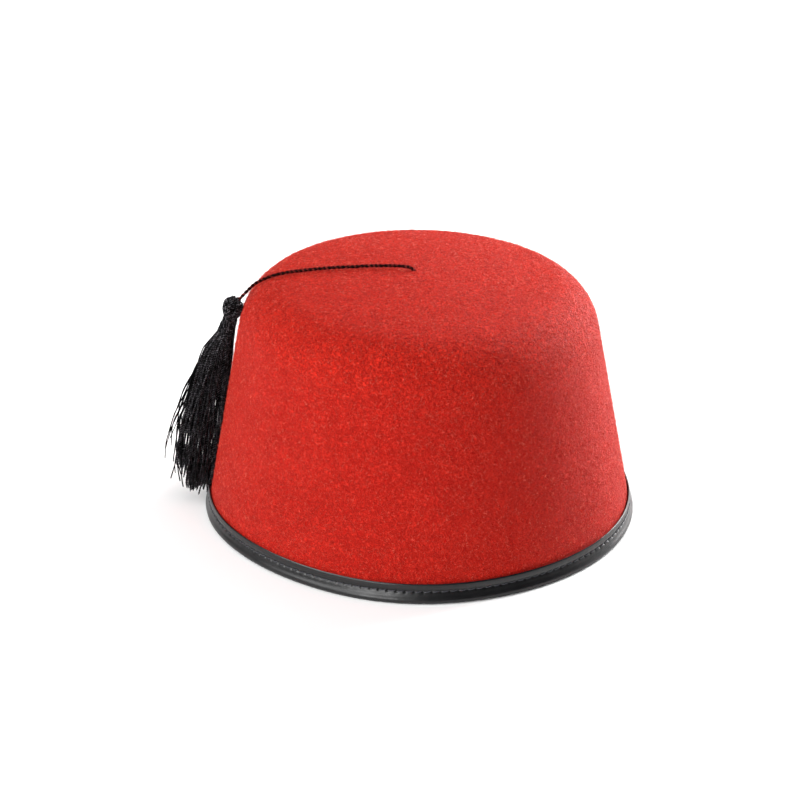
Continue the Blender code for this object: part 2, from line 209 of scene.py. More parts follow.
# The skirt's height, left side, right side and half depth, from the neck down
SKIRT_SHAPE = (
    (0.0885, -0.0880, -0.0824, 0.0027), (0.0840, -0.0898, -0.0834, 0.0031),
    (0.0800, -0.0927, -0.0838, 0.0042), (0.0740, -0.0970, -0.0842, 0.0056),
    (0.0660, -0.1003, -0.0843, 0.0066), (0.0540, -0.1046, -0.0850, 0.0078),
    (0.0400, -0.1090, -0.0855, 0.0087), (0.0260, -0.1114, -0.0870, 0.0092),
    (0.0120, -0.1126, -0.0904, 0.0092), (0.0000, -0.1132, -0.0940, 0.0090),
)
SKIRT_TOP = 0.0885
SKIRT_END_HEIGHT = 0.0050
SKIRT_SWING = 0.0015
OUTER_YARN_SHORTER = 0.20
YARN_DIAMETER = 0.00090
YARN_DIAMETER_SPREAD = (0.92, 1.08)
YARN_END_SPREAD = (0.955, 1.0)
YARN_START_TURNS = (0, 6.28)  # radians
YARN_LAY = 0.0024             # one full turn of its two plies
RINGS_PER_LAY = 6
YARN_CORNERS = (0.0, 52.0, 128.0, 180.0, 232.0, 308.0)  # degrees
YARN_CORNER_REACH = (1.0, 0.66, 0.66, 1.0, 0.66, 0.66)
TAPER_RINGS = 3
TAPER_START = 0.4
# Layers of the skirt: name, number of yarns, and the shares of its radius between which each lies
SKIRT_LAYERS = (
    ("skirt_yarns_outer", 62, 0.72, 1.0),
    ("skirt_yarns_inner", 66, 0.0, 0.70),
)
BEARING_SPREAD = 0.12
# Each yarn sways in three waves, more so on the far side from the hat
SWAYS = 3
SWAY_WAVES = (1.0, 4.5)
SWAY_SIZE = (0.0001, 0.0006)
SWAY_RADIANS = 6              # a wave this long over the fall has the gain below, a slower one more
SWAY_GAIN = 2.4
SWAY_ONSET = 3                # the sway is full once this many times its share of the fall is 1
FAR_SIDE_SWAY = 0.7
# Clear room beside the binding and beside the felt, and the heights between which it changes
CLEAR_OF_HAT = (0.0018, 0.00005)
CLEAR_HEIGHTS = (0.0085, 0.0125)
STRAY_OUT = (0.93, 1.02)
STRAY_ASIDE = 0.4
STRAY_LEAVES = 0.3            # share of its fall after which a stray leaves the skirt
STRAY_BOW = (1.0, 1.9)
STRAY_RADIUS_SHARE = (0.24, 0.38)  # of a yarn's diameter
STRAY_SIDES = 5
STRAY_CREST = 0.4
# Where the loosest plies end, from the hat's middle and from the floor
STRAY_ENDS = (
    (-0.1165, 0.0185), (-0.1161, 0.0233), (-0.1138, 0.0093), (-0.1119, 0.0108), (-0.1080, 0.0062),
    (-0.1148, 0.0300), (-0.1142, 0.0270), (-0.1128, 0.0170), (-0.1097, 0.0075), (-0.1122, 0.0380),
    (-0.1136, 0.0245), (-0.1109, 0.0135), (-0.1092, 0.0110),
)

# Nap: fibres that stand proud of the pressed felt
NAP_PIECES = 2
NAP_FIBRES = 27000            # in each piece
NAP_LENGTH = (0.0010, 0.0032)
NAP_RADIUS = 0.000060
NAP_LIFT = 0.00030
NAP_LIFT_SPREAD = (1.6, 0.5)  # shape and scale of its gamma distribution
NAP_END_LIFT = 0.7
NAP_BOW = 0.16                # share of a fibre's length
NAP_ROOT_DEPTH = 0.00006
NAP_OVER_BINDING = 0.0004
NAP_ROW_STEP = 0.001


# Small tools

def linear(hex_colour):
    """An sRGB hex colour as linear red, green, blue and alpha."""
    shares = [int(hex_colour[i:i + 2], 16) / 255 for i in (1, 3, 5)]
    return (*[c / 12.92 if c <= 0.04045 else ((c + 0.055) / 1.055) ** 2.4 for c in shares], 1.0)


def add(tree, kind, inputs=None, **settings):
    """Add a node with its settings, and link or set its inputs."""
    node = tree.nodes.new(kind)
    for name, value in settings.items():
        setattr(node, name, value)
    for name, value in (inputs or {}).items():
        if isinstance(value, bpy.types.NodeSocket):
            tree.links.new(value, node.inputs[name])
        else:
            node.inputs[name].default_value = value
    return node


def per_mm(size):
    """Pattern scale, in cells for each metre, for features this many millimetres across."""
    return 1000 / size


def blank_material(name):
    """A new material with its tree and its Principled shader."""
    made = bpy.data.materials.new(name)
    made.use_nodes = True
    return made, made.node_tree, made.node_tree.nodes["Principled BSDF"]


def mesh_piece(name, points, faces, look):
    """A smooth mesh that rides on the hat. A fourth value of its points is kept as their crest."""
    mesh = bpy.data.meshes.new(name)
    mesh.from_pydata(points[:, :3], [], faces)
    if points.shape[1] == 4:
        mesh.attributes.new("crest", "FLOAT", "POINT").data.foreach_set("value", points[:, 3])
    mesh.shade_smooth()
    mesh.materials.append(look)
    piece = bpy.data.objects.new(name, mesh)
    bpy.context.scene.collection.objects.link(piece)
    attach(piece, "root")
    return piece


def band_faces(rows, columns, start=0):
    """Faces between rows of closed rings, facing away from the rings' middles."""
    faces = []
    for row in range(rows - 1):
        low = start + row * columns
        for i in range(columns):
            j = (i + 1) % columns
            faces.append((low + i, low + j, low + columns + j, low + columns + i))
    return faces


def closed_tube(rings, start=0):
    """Points and faces of a tube through rings of points, with both ends capped."""
    rows, columns = rings.shape[:2]
    faces = band_faces(rows, columns, start)
    last = start + (rows - 1) * columns
    faces.append(tuple(range(start + columns - 1, start - 1, -1)))
    faces.append(tuple(range(last, last + columns)))
    return rings.reshape(-1, rings.shape[2]), faces


def joined(tubes):
    """Many closed tubes as one list of points and one of faces."""
    points, faces = [], []
    count = 0
    for rings in tubes:
        some, its_faces = closed_tube(rings, count)
        points.append(some)
        faces += its_faces
        count += len(some)
    return np.concatenate(points), faces


# Materials

def pressed_felt():
    """Pressed wool felt: a tangle of fine curling fibres, matt, with a faint glow at its edges."""
    look, tree, shader = blank_material("pressed_wool_felt")
    place = add(tree, "ShaderNodeTexCoord").outputs["Object"]
    strands = None
    for size, curl in ((2.1, 1.9), (3.1, 2.8), (1.4, 1.2)):
        tangle = add(tree, "ShaderNodeTexNoise", {
            "Vector": place, "Scale": per_mm(size), "Detail": 1.5, "Distortion": curl,
        })
        off_line = add(tree, "ShaderNodeMath", {
            0: tangle.outputs["Fac"], 1: 0.5,
        }, operation="SUBTRACT")
        distance = add(tree, "ShaderNodeMath", {0: off_line.outputs[0]}, operation="ABSOLUTE")
        line = add(tree, "ShaderNodeMapRange", {
            "Value": distance.outputs[0], "From Max": 0.065, "To Min": 1.0, "To Max": 0.0,
        }).outputs[0]
        if strands is None:
            strands = line
        else:
            both = add(tree, "ShaderNodeMath", {0: strands, 1: line}, operation="MAXIMUM")
            strands = both.outputs[0]
    grain = add(tree, "ShaderNodeTexNoise", {
        "Vector": place, "Scale": per_mm(1.0), "Detail": 2.0, "Roughness": 0.7,
    })
    grain_share = add(tree, "ShaderNodeMapRange", {
        "Value": grain.outputs["Fac"], "From Min": 0.35, "From Max": 0.65,
    })
    patches = add(tree, "ShaderNodeTexNoise", {"Vector": place, "Scale": per_mm(14), "Detail": 3.0})
    patch_share = add(tree, "ShaderNodeMapRange", {
        "Value": patches.outputs["Fac"], "From Min": 0.35, "From Max": 0.65, "To Max": 0.22,
    })
    # Painted contrast: the shoulder and top get deeper darks and paler strands than the wall, for the
    # raking light that brings out their fibres there
    level = add(tree, "ShaderNodeSeparateXYZ", {0: place}).outputs["Z"]
    painted_top_contrast = add(tree, "ShaderNodeMapRange", {
        "Value": level, "From Min": PAINTED_TOP_CONTRAST_HEIGHTS[0], "From Max": PAINTED_TOP_CONTRAST_HEIGHTS[1],
    }).outputs[0]
    deep, light, strand = [
        add(tree, "ShaderNodeMix", {
            0: painted_top_contrast, 6: linear(wall), 7: linear(top),
        }, data_type="RGBA").outputs[2]
        for wall, top in (("#ac0b06", "#880a05"), ("#c2130a", "#b8140b"), ("#de3123", "#f03423"))
    ]
    ground = add(tree, "ShaderNodeMix", {
        0: grain_share.outputs[0], 6: deep, 7: light,
    }, data_type="RGBA")
    fibrous = add(tree, "ShaderNodeMix", {
        0: strands, 6: ground.outputs[2], 7: strand,
    }, data_type="RGBA")
    colour = add(tree, "ShaderNodeMix", {
        0: patch_share.outputs[0], 6: fibrous.outputs[2], 7: linear("#b4160c"),
    }, data_type="RGBA")
    height = add(tree, "ShaderNodeMix", {0: 0.35, 2: strands, 3: grain_share.outputs[0]})
    bump = add(tree, "ShaderNodeBump", {
        "Height": height.outputs[0], "Strength": 1.0, "Distance": 0.00055,
    })
    tree.links.new(colour.outputs[2], shader.inputs["Base Color"])
    tree.links.new(bump.outputs["Normal"], shader.inputs["Normal"])
    shader.inputs["Roughness"].default_value = 0.60
    shader.inputs["Specular IOR Level"].default_value = 0.08
    shader.inputs["Sheen Weight"].default_value = 0.06
    shader.inputs["Sheen Roughness"].default_value = 0.20
    shader.inputs["Sheen Tint"].default_value = linear("#ffa496")
    return look


def felt_nap():
    """Single wool fibres that stand proud of the felt, painted paler than it as a stand-in for the light
    that passes through them.
    """
    look, tree, shader = blank_material("loose_wool_fibre")
    place = add(tree, "ShaderNodeTexCoord").outputs["Object"]
    pick = add(tree, "ShaderNodeTexNoise", {"Vector": place, "Scale": per_mm(1.6), "Detail": 1.0})
    share = add(tree, "ShaderNodeMapRange", {
        "Value": pick.outputs["Fac"], "From Min": 0.42, "From Max": 0.66,
    })
    colour = add(tree, "ShaderNodeMix", {
        0: share.outputs[0], 6: linear("#d02618"), 7: linear("#fc7460"),
    }, data_type="RGBA")
    tree.links.new(colour.outputs[2], shader.inputs["Base Color"])
    shader.inputs["Roughness"].default_value = 0.5
    shader.inputs["Specular IOR Level"].default_value = 0.2
    return look


def black_leathercloth():
    """PVC-coated leathercloth: a smooth black skin with a fine pressed grain and a satin shine."""
    look, tree, shader = blank_material("black_leathercloth")
    place = add(tree, "ShaderNodeTexCoord").outputs["Object"]
    grain = add(tree, "ShaderNodeTexVoronoi", {"Vector": place, "Scale": per_mm(0.75)})
    creases = add(tree, "ShaderNodeTexNoise", {
        "Vector": place, "Scale": per_mm(3.0), "Detail": 4.0, "Distortion": 0.6,
    })
    rubbed = add(tree, "ShaderNodeTexNoise", {"Vector": place, "Scale": per_mm(9.0), "Detail": 2.0})
    shine = add(tree, "ShaderNodeMapRange", {
        "Value": rubbed.outputs["Fac"], "From Min": 0.3, "From Max": 0.7, "To Min": 0.29, "To Max": 0.40,
    })
    colour = add(tree, "ShaderNodeMix", {
        0: creases.outputs["Fac"], 6: linear("#0a0a0b"), 7: linear("#151517"),
    }, data_type="RGBA")
    height = add(tree, "ShaderNodeMix", {
        0: 0.7, 2: grain.outputs["Distance"], 3: creases.outputs["Fac"],
    })
    bump = add(tree, "ShaderNodeBump", {
        "Height": height.outputs[0], "Strength": 0.35, "Distance": 0.00012,
    })
    tree.links.new(colour.outputs[2], shader.inputs["Base Color"])
    tree.links.new(shine.outputs[0], shader.inputs["Roughness"])
    tree.links.new(bump.outputs["Normal"], shader.inputs["Normal"])
    shader.inputs["Specular IOR Level"].default_value = 0.45
    return look


def black_thread():
    """Polyester sewing thread, painted paler than the black leather: a painted highlight for the glints
    that show each stitch.
    """
    look, tree, shader = blank_material("black_polyester_thread")
    place = add(tree, "ShaderNodeTexCoord").outputs["Object"]
    fuzz = add(tree, "ShaderNodeTexNoise", {"Vector": place, "Scale": per_mm(0.3), "Detail": 2.0})
    colour = add(tree, "ShaderNodeMix", {
        0: fuzz.outputs["Fac"], 6: linear("#242428"), 7: linear("#5a5a61"),
    }, data_type="RGBA")
    tree.links.new(colour.outputs[2], shader.inputs["Base Color"])
    shader.inputs["Roughness"].default_value = 0.55
    shader.inputs["Specular IOR Level"].default_value = 0.25
    return look


def rayon(name, groove, crest, shine):
    """Twisted rayon: near black where its plies meet, with painted glints, a paler colour, along the
    crest of each ply, where it is also less rough.
    """
    look, tree, shader = blank_material(name)
    place = add(tree, "ShaderNodeTexCoord").outputs["Object"]
    crest_height = add(tree, "ShaderNodeAttribute", attribute_name="crest").outputs["Fac"]
    height = add(tree, "ShaderNodeMapRange", {"Value": crest_height, "From Min": 0.50}).outputs[0]
    streaks = add(tree, "ShaderNodeTexNoise", {
        "Vector": place, "Scale": per_mm(1.2), "Detail": 3.0, "Roughness": 0.7,
    })
    fibres = add(tree, "ShaderNodeMapRange", {
        "Value": streaks.outputs["Fac"], "From Min": 0.46, "From Max": 0.60, "To Min": 0.08,
    })
    share = add(tree, "ShaderNodeMath", {0: height, 1: fibres.outputs[0]}, operation="MULTIPLY")
    roughness = add(tree, "ShaderNodeMapRange", {
        "Value": share.outputs[0], "To Min": 0.8, "To Max": 0.36,
    })
    # Painted highlight: the crest colour is painted where the streaks pick a crest, for the glints of
    # the plies
    colour = add(tree, "ShaderNodeMix", {
        0: share.outputs[0], 6: linear(groove), 7: linear(crest),
    }, data_type="RGBA")
    bump = add(tree, "ShaderNodeBump", {
        "Height": streaks.outputs["Fac"], "Strength": 0.5, "Distance": 0.0001,
    })
    tree.links.new(colour.outputs[2], shader.inputs["Base Color"])
    tree.links.new(bump.outputs["Normal"], shader.inputs["Normal"])
    tree.links.new(roughness.outputs[0], shader.inputs["Roughness"])
    shader.inputs["Specular IOR Level"].default_value = shine
    return look


# The crown

def rim_wave(turn):
    """How far the rim stands out of round at each turn."""
    return RIM_UNEVENNESS * sum(
        share * np.cos(lobes * (turn - math.radians(direction)))
        for lobes, share, direction in RIM_WAVES
    )


def rim_middle():
    """Middle of the uneven rim, which the frame has on its origin."""
    x = (rim_wave(0) - rim_wave(math.pi)) / 2
    y = RIM_OVAL * (rim_wave(math.pi / 2) - rim_wave(-math.pi / 2)) / 2
    return np.array((x, y, 0))


def crown_points(radius, height, turn):
    """Points of the crown, from its round profile to its uneven, oval, leaning shape."""
    share = height / CROWN_HEIGHT
    radius = radius + rim_wave(turn) * (1 - share)
    oval = 1 + (RIM_OVAL - 1) * (1 - share)
    x = radius * np.cos(turn) - CROWN_LEAN * share
    y = oval * radius * np.sin(turn)
    return np.stack(np.broadcast_arrays(x, y, height), -1) - rim_middle()


def shoulder_centre():
    """Centre of the shoulder's arc, which touches the wall's line and the dome's arc."""
    dome = Vector((0, CROWN_HEIGHT - DOME_RADIUS))
    inward = Vector((-math.cos(WALL_ANGLE), -math.sin(WALL_ANGLE)))
    upward = Vector((-math.sin(WALL_ANGLE), math.cos(WALL_ANGLE)))
    start = Vector((FELT_HALF_WIDTH, 0)) + SHOULDER_RADIUS * inward
    along = (start - dome).dot(upward)
    reach = (start - dome).length_squared - (DOME_RADIUS - SHOULDER_RADIUS) ** 2
    return start + (math.sqrt(along * along - reach) - along) * upward


def wall_radius(height, inset=0.0):
    """Radius of the straight wall, or of the face that lies this far inside it."""
    return FELT_HALF_WIDTH - WALL_SLOPE * height - inset / math.cos(WALL_ANGLE)


def crown_profile(inset, step):
    """Radius and height of one face of the felt, from its lower edge to the middle of the top."""
    centre = shoulder_centre()
    dome_height = CROWN_HEIGHT - DOME_RADIUS
    shoulder = SHOULDER_RADIUS - inset
    dome = DOME_RADIUS - inset
    dome_start = math.atan2(centre.y - dome_height, centre.x)
    wall_top = centre.y + shoulder * math.sin(WALL_ANGLE)
    bottom = LEATHER_THICKNESS + GAP
    wall_points = max(2, round((wall_top - bottom) / step))
    shoulder_points = max(2, round(2 * shoulder * (dome_start - WALL_ANGLE) / step))
    dome_points = max(2, round(dome * (math.pi / 2 - dome_start) / step)) + 1
    heights = np.linspace(bottom, wall_top, wall_points)
    arc = np.linspace(WALL_ANGLE, dome_start, shoulder_points)[1:]
    top = np.linspace(dome_start, math.pi / 2, dome_points)[1:-1]
    radii = [wall_radius(heights, inset), centre.x + shoulder * np.cos(arc), dome * np.cos(top)]
    levels = [heights, centre.y + shoulder * np.sin(arc), dome_height + dome * np.sin(top)]
    return np.concatenate(radii), np.concatenate(levels)


def wobble(point):
    """How far the pressed felt strays from its true shape here."""
    slow = noise.noise(Vector(point) / WOBBLE_LENGTH)
    quick = noise.noise(Vector(point) / QUICK_WOBBLE_LENGTH)
    return FELT_WOBBLE * (slow + QUICK_WOBBLE_SHARE * quick)


def pucker(points):
    """How far the felt stands up round the cord's hole, mostly in front of it."""
    aside = points[..., 0] - PUCKER_MIDDLE[0]
    front = points[..., 1] - PUCKER_MIDDLE[1]
    near = np.exp(-(aside ** 2 + front ** 2) / PUCKER_RADIUS ** 2)
    return PUCKER_HEIGHT * near * (points[..., 2] > PUCKER_LEVEL)


def make_felt(look):
    """The felt crown, with its two faces, its edge and the hole for the cord."""
    turns = 2 * math.pi * np.arange(FELT_COLUMNS) / FELT_COLUMNS
    inner = [row[::-1] for row in crown_profile(FELT_THICKNESS, INNER_FELT_STEP)]
    outer = crown_profile(0.0, OUTER_FELT_STEP)
    radii = np.concatenate((inner[0], outer[0]))[:, None]
    heights = np.concatenate((inner[1], outer[1]))[:, None]
    rings = crown_points(radii, heights, turns[None, :])
    out = rings - np.array((0, 0, WOBBLE_CENTRE_HEIGHT))
    out = out / np.linalg.norm(out, axis=-1, keepdims=True)
    shift = np.array([[wobble(point) for point in ring] for ring in rings])
    keep_edge = np.clip((heights - BINDING_OUTER_HEIGHT) / WOBBLE_FADE, 0, 1)
    rings = rings + out * (shift * keep_edge + pucker(rings))[..., None]
    points, faces = closed_tube(rings)
    felt = mesh_piece("felt_crown", points, faces, look)
    cut_cord_hole(felt, look)
    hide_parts("crown_felt")
    return felt


def cut_cord_hole(felt, look):
    """Open the way for the cord through the top."""
    path = smooth_path(CORD_ROUTE[:HOLE_ROUTE_POINTS], HOLE_STEP)
    radii = np.full(len(path), CORD_DIAMETER / 2)
    points, faces = closed_tube(round_rings(path, radii, HOLE_SIDES))
    mesh = bpy.data.meshes.new("cord_way")
    mesh.from_pydata(points, [], faces)
    way = bpy.data.objects.new("cord_way", mesh)
    bpy.context.scene.collection.objects.link(way)
    cut = felt.modifiers.new("Cord hole", "BOOLEAN")
    cut.operation = "DIFFERENCE"
    cut.object = way
    graph = bpy.context.evaluated_depsgraph_get()
    felt.data = bpy.data.meshes.new_from_object(felt.evaluated_get(graph))
    felt.modifiers.clear()
    felt.data.shade_smooth()
    felt.data.set_sharp_from_angle(angle=SHARP_ANGLE)
    bpy.data.objects.remove(way)


def make_nap(look, seed):
    """Curved fibres lying nearly flat on the felt's outer face, each a thin closed spindle."""
    dice = np.random.default_rng(seed)
    radii, heights = crown_profile(0.0, NAP_ROW_STEP)
    bare = heights > BINDING_OUTER_HEIGHT + NAP_OVER_BINDING
    radii, heights = radii[bare], heights[bare]
    steps = np.hypot(np.diff(radii), np.diff(heights))
    weights = steps * (radii[1:] + radii[:-1])
    row = dice.choice(len(steps), NAP_FIBRES, p=weights / weights.sum())
    part = dice.random(NAP_FIBRES)
    radius = radii[row] + part * (radii[row + 1] - radii[row])
    height = heights[row] + part * (heights[row + 1] - heights[row])
    turn = 2 * math.pi * dice.random(NAP_FIBRES)
    start = crown_points(radius, height, turn)
    small_turn = 1e-3
    around = crown_points(radius, height, turn + small_turn) - start
    up = crown_points(radii[row + 1], heights[row + 1], turn)
    up = up - crown_points(radii[row], heights[row], turn)
    around /= np.linalg.norm(around, axis=1, keepdims=True)
    up /= np.linalg.norm(up, axis=1, keepdims=True)
    out = np.cross(around, up)
    way = 2 * math.pi * dice.random(NAP_FIBRES)[:, None]
    along = np.cos(way) * around + np.sin(way) * up
    aside = np.cross(out, along)
    length = dice.uniform(*NAP_LENGTH, NAP_FIBRES)[:, None]
    bow = dice.normal(0, NAP_BOW, NAP_FIBRES)[:, None] * length
    lift = NAP_LIFT * dice.gamma(*NAP_LIFT_SPREAD, NAP_FIBRES)[:, None]
    sunk = start - NAP_ROOT_DEPTH * out
    middle = sunk + 0.5 * length * along + bow * aside + lift * out
    end = sunk + length * along + NAP_END_LIFT * lift * out * dice.random(NAP_FIBRES)[:, None]
    points = [sunk, end]
    for corner in range(3):
        angle = 2 * math.pi * corner / 3
        points.append(middle + NAP_RADIUS * (math.cos(angle) * out + math.sin(angle) * aside))
    points = np.stack(points, 1).reshape(-1, 3)
    # Points 0 and 1 are a fibre's ends, and 2, 3 and 4 are the corners of its middle
    spindle = np.array(((0, 2, 3), (0, 3, 4), (0, 4, 2), (1, 3, 2), (1, 4, 3), (1, 2, 4)))
    faces = (5 * np.arange(NAP_FIBRES)[:, None, None] + spindle).reshape(-1, 3)
    return mesh_piece(f"felt_nap_{seed}", points, faces.tolist(), look)


# The binding

def leg_face(leg, share):
    """How far a leg's face stands off the felt, in leather thicknesses, along a smooth curve."""
    heights, stands = np.array(leg).T
    slopes = np.gradient(stands, heights)
    i = np.clip(np.searchsorted(heights, share, side="right") - 1, 0, len(heights) - 2)
    width = heights[i + 1] - heights[i]
    t = (share - heights[i]) / width
    return (
        (2 * t ** 3 - 3 * t ** 2 + 1) * stands[i]
        + (t ** 3 - 2 * t ** 2 + t) * width * slopes[i]
        + (3 * t ** 2 - 2 * t ** 3) * stands[i + 1]
        + (t ** 3 - t ** 2) * width * slopes[i + 1]
    )


def stitch_count():
    """Number of stitches that fit round the rim."""
    return round(2 * math.pi * FELT_HALF_WIDTH * (1 + RIM_OVAL) / 2 / STITCH_PITCH)


def pinch(share, phase):
    """How far the stitches pull the leather in, in leather thicknesses."""
    hole = np.minimum(phase, 1 - phase) * STITCH_PITCH / HOLE_HALF_LENGTH
    beside = (share - GROOVE_HEIGHT_SHARE) * BINDING_OUTER_HEIGHT / HOLE_HALF_HEIGHT
    puff = sum(
        strength * np.exp(-((share - middle) / PUFF_HALF_HEIGHT) ** 2) for middle, strength in PUFFS
    )
    pull = HOLE_DEPTH_SHARE * np.exp(-hole ** 2 - beside ** 2)
    return pull - PUFF_SHARE * puff * np.sin(math.pi * phase) ** 2


def binding_leg(leg, leg_height, inset, side, steps, turns, phase):
    """Points of one leg's far face, on the given side of the felt."""
    shares = np.linspace(0, 1, steps)[:, None]
    stand = leg_face(leg, shares) - pinch(shares, phase[None, :])
    radius = wall_radius(leg_height * shares, inset) + side * (GAP + LEATHER_THICKNESS * stand)
    return crown_points(radius, leg_height * shares + 0 * radius, turns[None, :])


def make_binding(look):
    """The folded strip: its outer face, the channel that the felt sits in, and its inner face."""
    columns = stitch_count() * COLUMNS_PER_STITCH
    turns = 2 * math.pi * np.arange(columns) / columns
    phase = np.arange(columns) / COLUMNS_PER_STITCH % 1.0
    outer = binding_leg(OUTER_LEG, BINDING_OUTER_HEIGHT, 0, 1, OUTER_LEG_ROWS, turns, phase)
    inner = binding_leg(
        INNER_LEG, BINDING_INNER_HEIGHT, FELT_THICKNESS, -1, INNER_LEG_ROWS, turns, phase
    )
    gap_bottom = BINDING_OUTER_HEIGHT - LIP_GAP_DEPTH
    channel = (
        (wall_radius(gap_bottom) + GAP, gap_bottom),
        (wall_radius(LEATHER_THICKNESS) + GAP, LEATHER_THICKNESS),
        (wall_radius(LEATHER_THICKNESS, FELT_THICKNESS) - GAP, LEATHER_THICKNESS),
        (wall_radius(BINDING_INNER_HEIGHT, FELT_THICKNESS) - GAP, BINDING_INNER_HEIGHT),
    )
    radii = np.array([row[0] for row in channel])[:, None]
    heights = np.array([row[1] for row in channel])[:, None]
    middle = crown_points(radii, heights, turns[None, :])
    rings = np.concatenate((outer, middle, inner[::-1], outer[:1]))
    faces = band_faces(len(rings), columns)
    used = (len(rings) - 1) * columns
    faces = [tuple(i % used for i in face) for face in faces]
    binding = mesh_piece("folded_binding", rings[:-1].reshape(-1, 3), faces, look)
    binding.data.set_sharp_from_angle(angle=SHARP_ANGLE)
    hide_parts("edge_binding")
    return binding


def make_stitches(name, look, leg, leg_height, inset, side):
    """A ring of lockstitches that dip into their holes in the groove."""
    count = stitch_count()
    dice = random.Random(7)
    rings = []
    stand = leg_face(leg, np.array(GROOVE_HEIGHT_SHARE)) * LEATHER_THICKNESS
    for i in range(count):
        path = []
        slant = STITCH_SLANT + dice.uniform(-STITCH_SLANT_SPREAD, STITCH_SLANT_SPREAD)
        for step in range(STITCH_RINGS):
            part = step / (STITCH_RINGS - 1) - 0.5
            turn = 2 * math.pi * (i + 0.5 + part * STITCH_LENGTH / STITCH_PITCH) / count
            rise = THREAD_DIAMETER * (STITCH_RISE_SHARE - STITCH_DIP_SHARE * abs(2 * part) ** 4)
            height = leg_height * GROOVE_HEIGHT_SHARE + slant * 2 * part
            radius = wall_radius(height, inset) + side * (GAP + stand + rise)
            path.append(crown_points(radius, np.array(height), turn))
        radii = np.full(STITCH_RINGS, THREAD_DIAMETER / 2)
        rings.append(round_rings(np.array(path), radii, THREAD_SIDES))
    points, faces = joined(rings)
    return mesh_piece(name, points, faces, look)


# Cords and yarns

def curve_point(before, start, end, after, share):
    """A point of the smooth curve through four neighbours, between the middle two."""
    return 0.5 * (
        2 * start
        + (end - before) * share
        + (2 * before - 5 * start + 4 * end - after) * share ** 2
        + (3 * start - before - 3 * end + after) * share ** 3
    )


def distances(path):
    """How far along the path each of its points is."""
    return np.concatenate(([0], np.cumsum(np.linalg.norm(np.diff(path, axis=0), axis=1))))


def smooth_path(route, spacing):
    """Evenly spaced points on one smooth curve through the route's own points."""
    points = np.array(route, float)
    padded = np.concatenate(([2 * points[0] - points[1]], points, [2 * points[-1] - points[-2]]))
    fine_steps = 24
    shares = np.arange(fine_steps)[:, None] / fine_steps
    fine = [curve_point(*padded[i:i + 4], shares) for i in range(len(points) - 1)]
    fine = np.concatenate(fine + [points[-1:]])
    travelled = distances(fine)
    wanted = np.linspace(0, travelled[-1], max(2, round(travelled[-1] / spacing)) + 1)
    return np.stack([np.interp(wanted, travelled, fine[:, k]) for k in range(3)], -1)


def path_frames(path):
    """Two directions across the path at each point, carried along it without twisting."""
    along = np.gradient(path, axis=0)
    along /= np.linalg.norm(along, axis=1, keepdims=True)
    starts_along_y = abs(along[0][1]) >= 0.9
    guess = np.array((1.0, 0.0, 0.0)) if starts_along_y else np.array((0.0, 1.0, 0.0))
    across = np.empty_like(path)
    for i, direction in enumerate(along):
        guess = guess - guess.dot(direction) * direction
        guess = guess / math.sqrt(guess.dot(guess))
        across[i] = guess
    return across, np.cross(along, across)


def round_rings(path, radii, sides):
    """Rings of a round tube along the path."""
    across, other = path_frames(path)
    turns = 2 * math.pi * np.arange(sides) / sides
    cosines, sines = np.cos(turns)[None, :, None], np.sin(turns)[None, :, None]
    circle = cosines * across[:, None] + sines * other[:, None]
    return path[:, None] + radii[:, None, None] * circle


def crested(rings, path, diameter, valley):
    """The rings with a fourth value: 0 where the plies meet and 1 on their crests."""
    reach = np.linalg.norm(rings - path[:, None], axis=-1) / (diameter / 2)
    crest = np.clip((reach - valley) / (CREST_TOP - valley), 0, 1)
    return np.concatenate((rings, crest[..., None]), -1)


def plied(path, diameter, lay, sides):
    """The two plies of a cord, each a round strand that winds round the path in a Z twist."""
    across, other = path_frames(path)
    travelled = distances(path)
    ply_radius = PLY_RADIUS_SHARE * diameter
    offset = diameter / 2 - ply_radius
    strands = []
    for ply in range(2):
        turn = 2 * math.pi * (travelled / lay + ply / 2)
        centre = path + offset * (np.cos(turn)[:, None] * across + np.sin(turn)[:, None] * other)
        rings = round_rings(centre, np.full(len(path), ply_radius), sides)
        strands.append(crested(rings, path, diameter, CORD_VALLEY))
    return strands


def make_cord(look):
    """The twisted cord, with every eighth point of its path and the path's length."""
    path = smooth_path(CORD_ROUTE, CORD_STEP)
    points, faces = joined(plied(path, CORD_DIAMETER, CORD_LAY, CORD_SIDES))
    cord = mesh_piece("twisted_cord", points, faces, look)
    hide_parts("tassel_cord")
    length = float(np.linalg.norm(np.diff(path, axis=0), axis=1).sum())
    return cord, path[::DECLARED_POINT_STEPS], length


def make_cord_knot(look):
    """The plain overhand knot that stops the cord under the felt."""
    low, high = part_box("cord_knot")
    middle = np.array((low + high) / 2)
    turn = 2 * math.pi * np.arange(KNOT_STEPS + 1) / KNOT_STEPS
    loop = np.stack((
        np.sin(turn) + 2 * np.sin(2 * turn),
        np.cos(turn) - 2 * np.cos(2 * turn),
        -np.sin(3 * turn) * TREFOIL_HEIGHT,
    ), -1)
    unit = (CORD_KNOT_DIAMETER - CORD_DIAMETER) / 2 / TREFOIL_REACH
    points, faces = joined(plied(middle + unit * loop, CORD_DIAMETER, CORD_LAY, KNOT_SIDES))
    knot = mesh_piece("overhand_knot", points, faces, look)
    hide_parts("cord_knot")
    return knot


# The tassel

